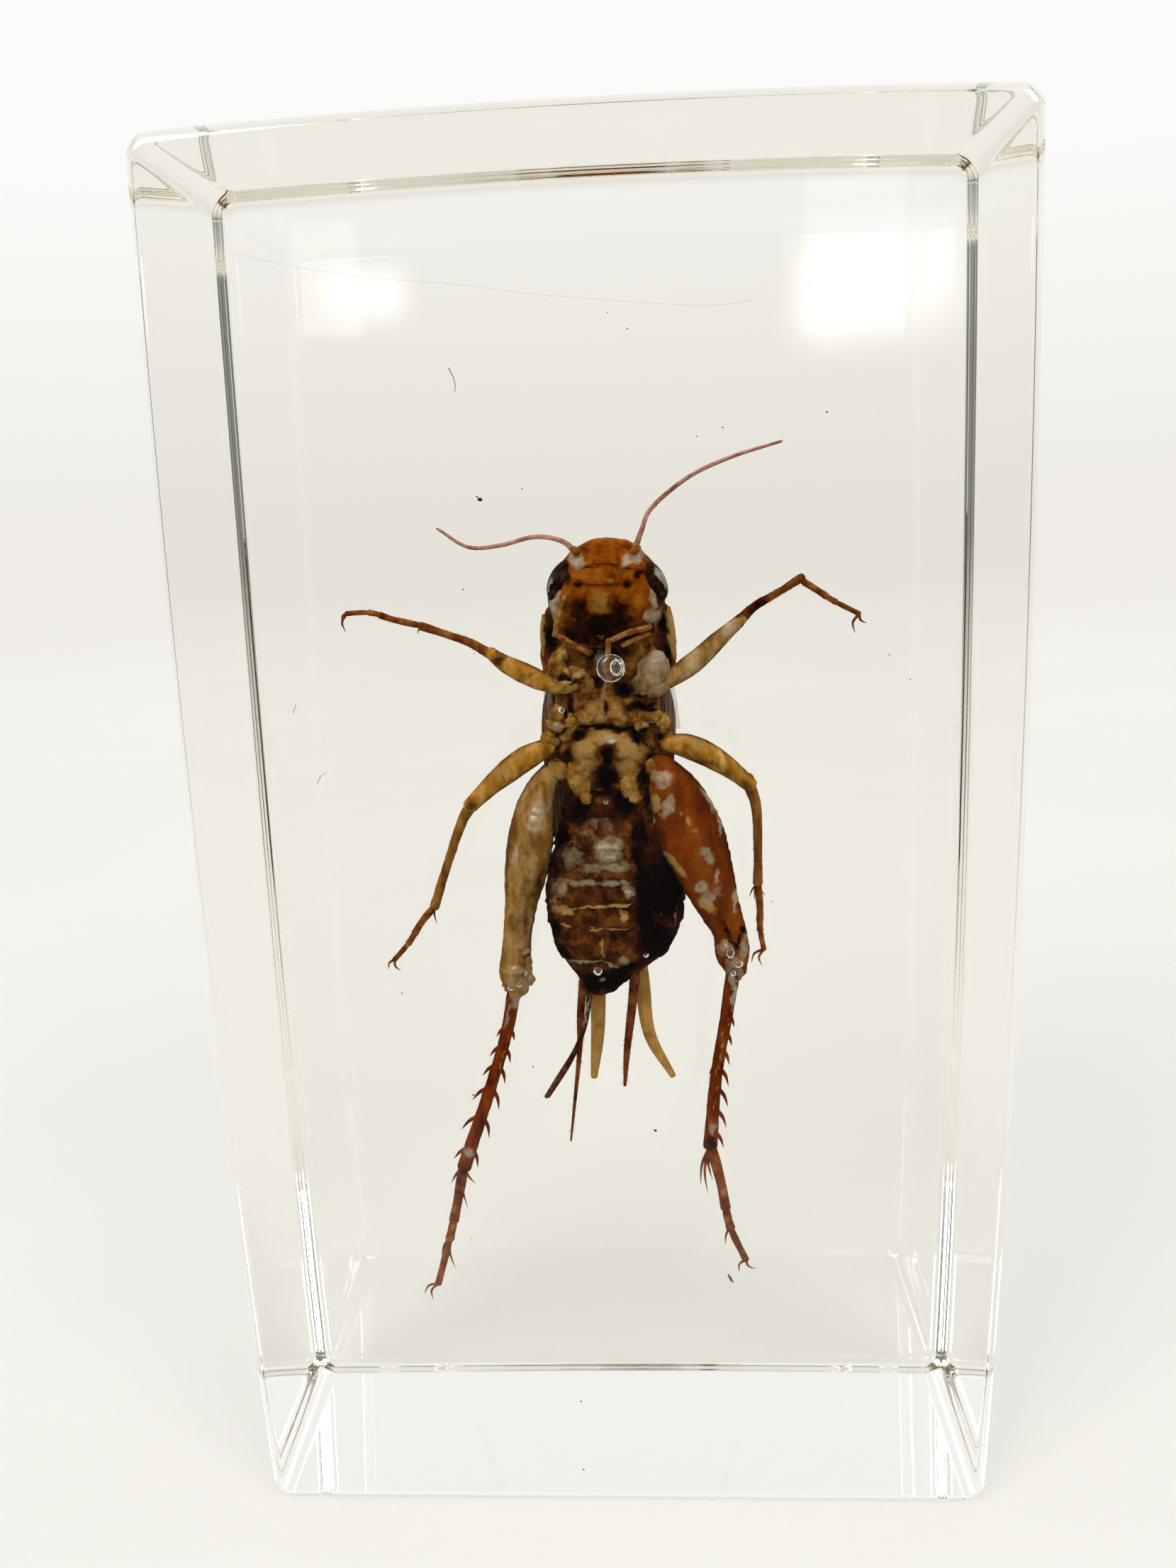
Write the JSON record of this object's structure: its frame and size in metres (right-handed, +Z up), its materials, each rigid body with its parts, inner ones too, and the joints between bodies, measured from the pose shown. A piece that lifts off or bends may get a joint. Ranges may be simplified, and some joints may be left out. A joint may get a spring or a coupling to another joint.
{
  "type": "insect in resin block",
  "caption": "Upright clear cast resin block with a dried cricket sealed inside, underside to the broad front face, standing on its small end.",
  "frame": {"origin": "middle of the block's foot, in the plane of the surface it stands on", "axes": "+Z up along the block's long side, +Y from the broad front face to the back face, +X to the right as seen from the front; the insect's head is up and its underside faces -Y"},
  "size_m": [0.0422, 0.021, 0.0734],
  "materials": {
    "resin": "clear polished casting resin, faint yellow tint, smooth polished faces",
    "chitin": "dried insect shell, amber to dark brown, semi-gloss with silver-grey air film patches"
  },
  "bodies": {
    "root": {"resin_front": "resin", "resin_back": "resin", "cricket": "chitin"}
  },
  "joints": []
}
